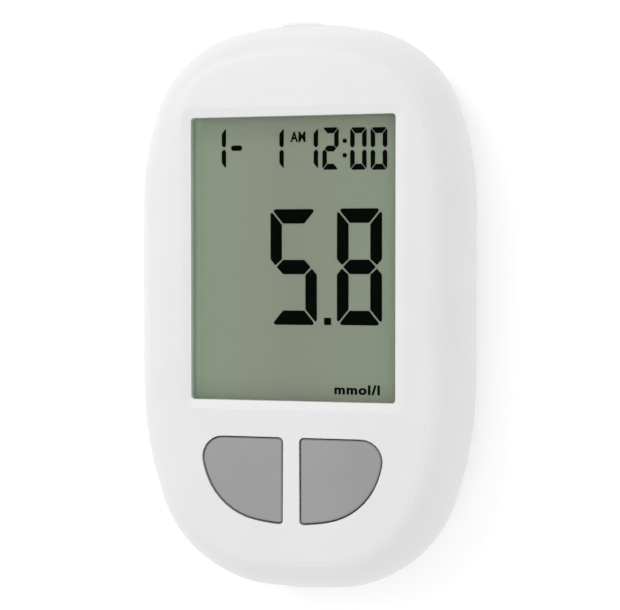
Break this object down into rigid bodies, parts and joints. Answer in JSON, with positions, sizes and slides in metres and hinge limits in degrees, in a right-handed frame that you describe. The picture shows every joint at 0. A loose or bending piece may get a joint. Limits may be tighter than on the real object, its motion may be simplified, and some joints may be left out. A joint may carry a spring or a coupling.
{
  "type": "blood glucose meter",
  "caption": "Hand-held blood glucose meter: pebble-shaped white housing, large segment display, grey push keys, test strip port and sliding battery door.",
  "frame": {"origin": "on the resting plane of the back, under the middle of the housing outline", "axes": "+X to the right of the display, +Y along the length towards the strip port, +Z out of the display"},
  "size_m": [0.0572, 0.0951, 0.0201],
  "materials": {
    "shell": "satin moulded",
    "window": "clear polished acrylic",
    "polariser": "film",
    "display_glass": "polished",
    "holder": "moulded",
    "elastomer": "matte",
    "board": "solder mask",
    "chip": "epoxy",
    "ceramic_chip": "matte",
    "black_plastic": "moulded",
    "key": "fine matte",
    "steel": "plated",
    "spring_steel": "nickel plated",
    "screw_steel": "zinc plated",
    "gold_contact": "gold plated",
    "cell_jacket": "printed foil, plain"
  },
  "bodies": {
    "housing": {"front_housing": "shell", "rear_housing": "shell", "strip_port_guide": "shell", "display_window": "window", "front_polariser": "polariser", "rear_polariser": "polariser", "lcd_front_glass": "display_glass", "lcd_rear_glass": "display_glass", "lcd_holder": "holder", "elastomer_strip": "elastomer", "main_board": "board", "microcontroller": "chip", "analog_chip": "chip", "crystal": "steel", "chip_capacitors": "ceramic_chip", "buzzer": "black_plastic", "left_switch": "steel", "right_switch": "steel", "strip_connector": "black_plastic", "strip_contacts": "gold_contact", "battery_left": "cell_jacket", "battery_right": "cell_jacket", "terminal_plates": "steel", "bridge_plate": "steel", "battery_springs": "spring_steel", "housing_screws": "screw_steel", "board_screws": "screw_steel"},
    "left_key": {"left_button": "key", "left_plunger": "black_plastic"},
    "right_key": {"right_button": "key", "right_plunger": "black_plastic"},
    "door": {"battery_door": "shell"}
  },
  "joints": [
    {"name": "left_key_press", "type": "slide", "parent": "housing", "child": "left_key", "axis": [0, 0, 1], "range_m": [-0.0005, 0], "stiffness_N_per_m": 2000, "springref_m": 0.0002},
    {"name": "right_key_press", "type": "slide", "parent": "housing", "child": "right_key", "axis": [0, 0, 1], "range_m": [-0.0005, 0], "stiffness_N_per_m": 2000, "springref_m": 0.0002},
    {"name": "door_slide", "type": "slide", "parent": "housing", "child": "door", "axis": [0, -1, 0], "range_m": [0, 0.056]}
  ]
}
